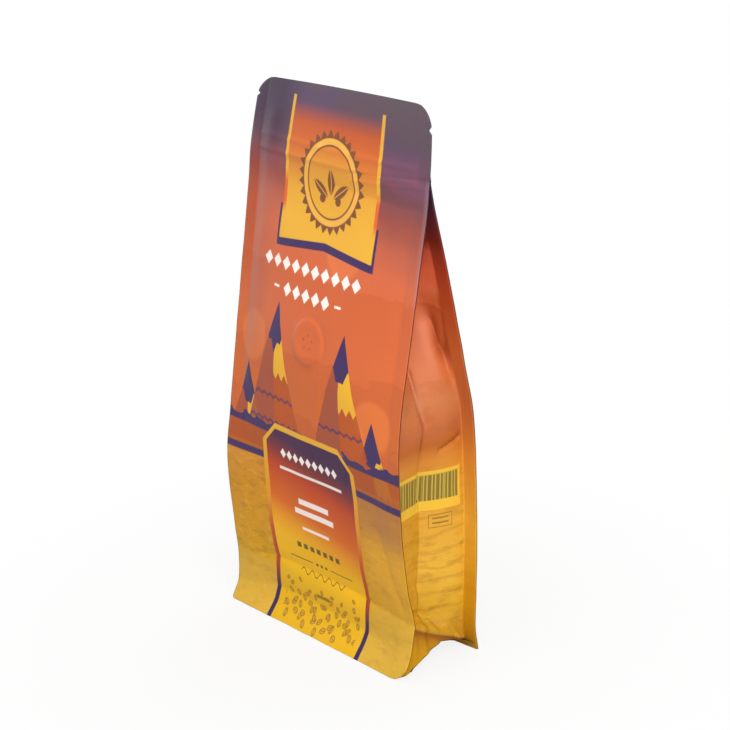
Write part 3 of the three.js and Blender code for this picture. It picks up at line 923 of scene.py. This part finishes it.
def paint_label(ink):
    """An upright label down to the foot, plum fading through red and orange into yellow."""
    aside = abs(ink.x - LABEL_MIDDLE)
    corner = LABEL_HALF + LABEL_TOP - LABEL_CHAMFER - aside - ink.z
    label = (LABEL_HALF - aside).least(LABEL_TOP - ink.z).least(corner)
    border = ink.ramp(ink.z, [
        (0, "#32244a"), (14, "#37264a"), (24, "#9c3a20"), (44, "#b84c20"), (58, "#cf8a22"), (98, YELLOW),
    ])
    ink.stamp(border, label + 2.6)
    fill = ink.ramp(ink.z + ink.x * 0.22, [
        (0, "#cc9e14"), (18, "#d4a414"), (28, "#e4ae10"), (36, "#e4ac0c"), (44, "#da9414"), (54, "#c6601a"),
        (70, "#b4421c"), (78, "#7d302c"), (86, "#472444"), (98, "#3c2348"),
    ])
    ink.stamp(fill, label, 0.2)
    paint_label_marks(ink, aside)


def paint_label_marks(ink, aside):
    """Plain bars, dots and a wave in the places of the label's lines."""
    spacing = 4.4
    lozenges = 1.9 - ink.row(spacing, LABEL_MIDDLE) - abs(ink.z - LABEL_LOZENGES) * 0.8
    ink.stamp(CHALK, lozenges.least(spacing * 4.5 - aside), 0.2)
    for z, half_width, half_height in LABEL_BARS:
        bar = (half_width - aside).least(half_height - abs(ink.z - z))
        ink.stamp(CHALK, bar, 0.3, 0.9)
    squares = 1.3 - ink.row(spacing, LABEL_MIDDLE).most(abs(ink.z - LABEL_SQUARES))
    ink.stamp(OLIVE, squares.least(spacing * 3.5 - aside), 0.2)
    rule = (0.25 - abs(ink.z - LABEL_RULE)).least(aside - 6).least(21 - aside)
    ink.stamp(OLIVE, rule, 0.15)
    for shift in (-3, 0, 3):
        ink.stamp(OLIVE, ink.disc(LABEL_MIDDLE + shift, LABEL_RULE, 0.8), 0.15)
    wave = (ink.x * 1.1).sine() * 1.3
    ink.stamp(OLIVE, (0.35 - abs(ink.z - LABEL_WAVE - wave)).least(15 - aside), 0.2, 0.85)
    ink.stamp(OLIVE, (4.5 - aside).least(0.8 - abs(ink.z - LABEL_FOOT_BAR)), 0.3, 0.8)
    for height, seed_spacing, size, phase in SEED_ROWS:
        paint_seeds(ink, height + aside * 0.12, seed_spacing, size, phase, 25.5 - aside)


def paint_seeds(ink, height, spacing, size, phase, held):
    """A loose row of split seeds where held is positive, each turned its own way."""
    count = (ink.x / spacing).floor()
    turn = count * 1.3 + phase
    stray = (count * 2.4 + phase).sine()
    across = ink.x - (count + 0.5) * spacing - stray * 0.6
    up = ink.z - height - stray * 1.8
    cosine, sine = turn.cosine(), turn.sine()
    along = (across * cosine + up * sine) / 1.45
    aside = up * cosine - across * sine
    seed = size - (along * along + aside * aside).root()
    ink.stamp("#80581a", seed.least(held), 0.2, 0.8)
    ink.stamp("#c8952a", (seed - 0.4).least(abs(aside) - 0.22).least(held), 0.15)


def paint_front(ink):
    paint_sky(ink)
    paint_ground(ink)
    shade_under_hills = ink.z.within(52, 68, 76, 84) * ink.x.between(-20, 50)
    ink.lay("#8a4c3c", shade_under_hills * 0.55)
    paint_hills(ink, FRONT_HILLS)
    paint_horizon(ink)
    paint_plaque(ink)
    paint_rules(ink)
    paint_label(ink)
    paint_pinholes(ink)


def paint_back(ink):
    paint_sky(ink, -0.1)
    paint_ground(ink)
    paint_hills(ink, BACK_HILLS)
    paint_horizon(ink)
    panel = ink.box(-36, 36, 14, 70)
    ink.stamp(YELLOW, panel + 1.6)
    fill = ink.ramp(ink.z, [(14, "#3f2648"), (34, "#7d302c"), (52, "#bb5220"), (70, "#cf8a22")])
    ink.stamp(fill, panel, 0.2)
    for z, half_width in ((62, 22), (55, 28), (50, 28), (45, 24)):
        ink.stamp(CHALK, ink.box(-half_width, half_width, z - 0.8, z + 0.8), 0.3, 0.9)
    for shift in (-20, -10, 0, 10, 20):
        ink.stamp(CHALK, ink.disc(shift, 30, 2.6), 0.25)
    lozenges = 2.9 - ink.row(7) - abs(ink.z - 190) * 0.95
    ink.stamp(CHALK, lozenges.least(24.5 - abs(ink.x)), 0.25)


def paint_gusset(ink):
    """The dusk and the fields of the side, with a block of stripes and a small frame, and painted shade and
    highlights on its folds.
    """
    ink.colour = ink.ramp(ink.z + (ink.noise(34, (1.3, 0.8)) - 0.5) * 6, SIDE)
    # Painted shade in the dent below the upper crease.
    ink.lay("#a04410", ink.x.between(8, 15) * ink.z.within(132, 142, 160, 168) * 0.6)
    # Painted highlight on the bright ridge beneath the dent.
    lit_facet = ink.x.within(-3, 3, 9, 15) * ink.z.within(118, 134, 148, 160)
    ink.lay("#d98a68", lit_facet * 0.4)
    trees = ink.noise(8, (1, 0.8), shift=4)
    ink.stamp("#a85f3a", (126 + (trees - 0.5) * 24 - ink.z).least(ink.z - 104), 0.8, 0.3)
    ink.lay("#8f4a2a", trees.between(0.52, 0.64) * ink.z.within(98, 108, 118, 128) * 0.2)
    paint_side_fields(ink)
    # Painted shade under the lower fold, where the film turns down: darkest at the fold.
    under_fold = 17.8 - (ink.x + 11) * 0.37 - ink.z
    wing_shade = ink.ramp(under_fold, [(0, "#723600"), (1.5, "#8a4a00"), (4, "#a46c00"), (9, "#b48000")])
    ink.stamp(wing_shade, under_fold, 0.8, 0.9)
    # The rear fin's strip is laid darker: partly the pressed seal, partly painted shade deep in the fold.
    strip = ink.x.between(GUSSET_FLAT / 2 - 0.8, GUSSET_FLAT / 2 + 0.4)
    ink.lay(ink.ramp(ink.z, SIDE_FIN), strip * 0.85)
    paint_stripes(ink)
    paint_crease_shade(ink)


def paint_side_fields(ink):
    """Rows of crops and mottled patches low on the side, with painted shade on its front half."""
    below = ink.z.between(94, 84)
    rows = (ink.z * 0.9 + (ink.noise(30, (2, 1)) - 0.5) * 18).sine()
    ink.lay("#a97720", rows.between(0.5, 0.95) * below * 0.35)
    sheaves = ink.noise(3.5, (2.2, 0.8), 4, 0.7, shift=9)
    ink.lay("#e2b04c", sheaves.between(0.52, 0.7) * below * 0.35)
    patches = ink.noise(5, (2.2, 0.8), 4, 0.65, shift=5)
    ink.lay("#946615", patches.between(0.5, 0.66) * below * 0.35)
    # Painted shade: the front half of the fold, which faces away from the light, is laid darker.
    ink.lay("#c08406", ink.x.between(0, -1.5) * below * 0.5)


def paint_crease_shade(ink):
    """Painted shade along the two sharpest creases of the gusset."""
    upright = (0.7 - abs(ink.x + 1.8)).least(ink.z - 98).least(132 - ink.z)
    ink.stamp("#8a3c1c", upright, 0.4, 0.6)
    rising = (0.4 - abs(ink.z - 93.8 - ink.x * 0.32)).least(ink.x - 10).least(22.5 - ink.x)
    ink.stamp("#8a4412", rising, 0.35, 0.5)


def paint_stripes(ink):
    """A block of uneven stripes with a bright edge, over a small frame of two rules."""
    ink.stamp("#dcae34", ink.box(-23, 20.5, 69, 87.5), 0.2)
    ink.stamp("#b59a42", ink.box(-23, 19.5, 73.5, 86), 0.15)
    stripes = (ink.x * 3.1).sine() + (ink.x * 4.9 + 1).sine() * 0.8 + 0.25
    ink.stamp("#75611e", (stripes * 0.25).least(ink.box(-23, 19, 73.5, 85.5)), 0.1, 0.9)
    frame_box = ink.box(4, 16, 60.5, 67)
    ink.stamp(OLIVE, 0.2 - abs(frame_box - 0.3), 0.15, 0.6)
    for z in (62.8, 65):
        ink.stamp(OLIVE, ink.box(6, 14, z - 0.4, z + 0.4), 0.2, 0.7)


def paint_base(ink):
    ink.colour = ink.ramp(ink.noise(9, (1.4, 1), 4), [(0.3, "#9c6c12"), (0.5, "#b07f1c"), (0.7, "#c4952e")])


def new_material(name):
    """An empty node material: its tree and its Principled shader."""
    material = bpy.data.materials.new(name)
    material.use_nodes = True
    tree = material.node_tree
    return material, tree, tree.nodes["Principled BSDF"]


def bump(tree, height, depth):
    """Fine relief of a surface, depth millimetres deep."""
    return add_node(tree, "ShaderNodeBump", {"Height": height, "Distance": depth * MM}).outputs["Normal"]


def object_place(tree):
    """Where each point is in its object's own space."""
    return add_node(tree, "ShaderNodeTexCoord", {}).outputs["Object"]


def printed_film(name, paint):
    """Matte laminate: the print under a skin with a fine tooth and slightly uneven gloss."""
    material, tree, shader = new_material(name)
    ink = Ink(tree)
    paint(ink)
    tooth = ink.noise(0.5, detail=2) * 0.3 + ink.noise(5, detail=2)
    feed(tree, shader, {
        "Base Color": ink.colour,
        "Specular IOR Level": 0.2,
        "Roughness": ink.noise(14, detail=2, shift=1) * 0.12 + 0.38,
        "Normal": bump(tree, tooth, 0.05),
    })
    return material


def plain_finish(name, dark, light, size, roughness):
    """A plain material with slightly uneven colour and gloss, in clouds about size across."""
    material, tree, shader = new_material(name)
    place = object_place(tree)
    cloud = noise_field(tree, place, size * MM, 2)
    tooth = noise_field(tree, place, size / 10 * MM, 2)
    feed(tree, shader, {
        "Base Color": colour_ramp(tree, cloud, [(0.35, dark), (0.65, light)]),
        "Roughness": cloud * 0.1 + roughness,
        "Normal": bump(tree, tooth, 0.02),
    })
    return material


def cut_edge():
    """The cut edges of the films are painted in a dark tone of the print beside them: painted shade of the
    gaps between the films.
    """
    material, tree, shader = new_material("film_cut_edge")
    ink = Ink(tree)
    tone = ink.ramp(ink.z + (ink.noise(3) - 0.5) * 6, EDGE_SHADE)
    feed(tree, shader, {"Base Color": tone, "Roughness": 0.7, "Specular IOR Level": 0.05})
    return material


def make_films():
    """The five sheets of the pouch."""
    # The inner face has a guessed dark grey-brown, kept dark as painted shade where it shows through gaps.
    finish = (plain_finish("film_inside", "#3c3026", "#4c3e30", 12, 0.5), cut_edge())
    front = panel_grid(front_outer, front_reach, flat_foot)
    back, back_places = panel_grid(back_outer, back_reach, foot_lift)
    left, right = gusset_grid(-1), gusset_grid(1)
    side_print = printed_film("gusset_print", paint_gusset)
    for name, (points, places), outward, face in (
        ("front_panel", front, (0, -1, 0), printed_film("front_print", paint_front)),
        ("back_panel", (back, back_places * (-1, 1)), (0, 1, 0), printed_film("back_print", paint_back)),
        ("gusset_left", left, (-1, 0, 0), side_print),
        ("gusset_right", right, (1, 0, 0), side_print),
        ("base_panel", base_grid((left[0], right[0])), (0, 0, -1), printed_film("base_print", paint_base)),
    ):
        make_sheet(name, points, places, outward, (face, *finish))


def dress_valve():
    """The valve keeps its own shape under the front film."""
    plastic = plain_finish("valve_plastic", "#d6cfc4", "#e2dcd2", 4, 0.42)
    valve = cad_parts["valve"]
    valve.data.materials.clear()
    valve.data.materials.append(plastic)


# Floor, light and camera
SOFT_LIGHT = 0.44  # how strongly the white surroundings light the pouch
FLOOR_GLOW = 0.84  # how white the camera sees the floor beside the pouch
FLOOR_FADE = (0.02, 0.25)  # metres from the middle over which it turns all white
FLOOR_HALF = 6
# Name, azimuth and elevation in degrees, distance and size in metres, and watts
LIGHTS = [
    ("top_softbox", 15, 62, 1.2, 0.9, 8),
    ("key_softbox", 65, 35, 1.2, 0.7, 13),
    ("left_softbox", -88, 5, 1.1, 0.9, 3.8),
    ("back_softbox", 200, 35, 1.3, 0.9, 6),
]


def camera_ray(tree):
    """1 where the camera looks, 0 where light is gathered."""
    return Field(tree, add_node(tree, "ShaderNodeLightPath", {}).outputs["Is Camera Ray"])


def pale_floor():
    """White paper with faint shadows round the pouch, which the camera sees fade into white."""
    material, tree, shader = new_material("pale_floor")
    feed(tree, shader, {"Base Color": linear("#c4c3c0"), "Roughness": 0.8})
    far = add_node(tree, "ShaderNodeVectorMath", {0: object_place(tree)}, operation="LENGTH")
    faded = Field(tree, far.outputs["Value"]).between(*FLOOR_FADE) * (1 - FLOOR_GLOW) + FLOOR_GLOW
    glow = add_node(tree, "ShaderNodeEmission", {}).outputs[0]
    values = {0: faded * camera_ray(tree), 1: shader.outputs[0], 2: glow}
    mix = add_node(tree, "ShaderNodeMixShader", values)
    feed(tree, tree.nodes["Material Output"], {"Surface": mix.outputs[0]})
    return material


def make_floor():
    corners = [(x * FLOOR_HALF, y * FLOOR_HALF, 0) for x, y in ((-1, -1), (1, -1), (1, 1), (-1, 1))]
    mesh = bpy.data.meshes.new("floor")
    mesh.from_pydata(corners, [], [(0, 1, 2, 3)])
    mesh.materials.append(pale_floor())
    add_object("floor", mesh)


def make_world():
    """White behind everything for the camera, and a softer white as light."""
    world = bpy.data.worlds.new("studio")
    world.use_nodes = True
    tree = world.node_tree
    strength = camera_ray(tree) * (1 - SOFT_LIGHT) + SOFT_LIGHT
    feed(tree, tree.nodes["Background"], {"Color": (1, 1, 1, 1), "Strength": strength})
    bpy.context.scene.world = world


def direction(azimuth, elevation):
    """The unit vector towards a light or the camera, from angles in radians."""
    level = np.cos(elevation)
    return Vector((np.sin(azimuth) * level, -np.cos(azimuth) * level, np.sin(elevation)))


def add_light(name, azimuth, elevation, distance, size, power):
    """A soft square light, placed round the pouch and turned to its middle."""
    away = direction(*np.radians([azimuth, elevation]))
    light = bpy.data.lights.new(name, "AREA")
    light.size = size
    light.energy = power
    lamp = add_object(name, light)
    lamp.location = Vector((0, 0, HEIGHT / 2 * MM)) + away * distance
    lamp.rotation_euler = away.to_track_quat("Z", "Y").to_euler()


def make_camera():
    """The photograph's own view, fitted to the pouch's corners and edges."""
    azimuth, elevation, roll = np.radians([49.941, 18.68, -1.502])
    distance, target = 860.925, Vector((13.577, 0, 127.28))
    focal_pixels, frame_pixels, sensor = 2006.229, 730, 36
    back = direction(azimuth, elevation)
    level = Vector((0, 0, 1)).cross(back).normalized()
    upright = back.cross(level)
    right = level * np.cos(roll) + upright * np.sin(roll)
    up = upright * np.cos(roll) - level * np.sin(roll)
    data = bpy.data.cameras.new("camera")
    data.sensor_width = sensor
    data.lens = focal_pixels / frame_pixels * sensor
    camera = add_object("camera", data)
    turned = Matrix((right, up, back)).transposed().to_4x4()
    camera.matrix_world = Matrix.Translation((target + back * distance) * MM) @ turned
    bpy.context.scene.camera = camera


bpy.context.scene.view_settings.view_transform = "Standard"
make_films()
dress_valve()
make_floor()
make_world()
for light in LIGHTS:
    add_light(*light)
make_camera()
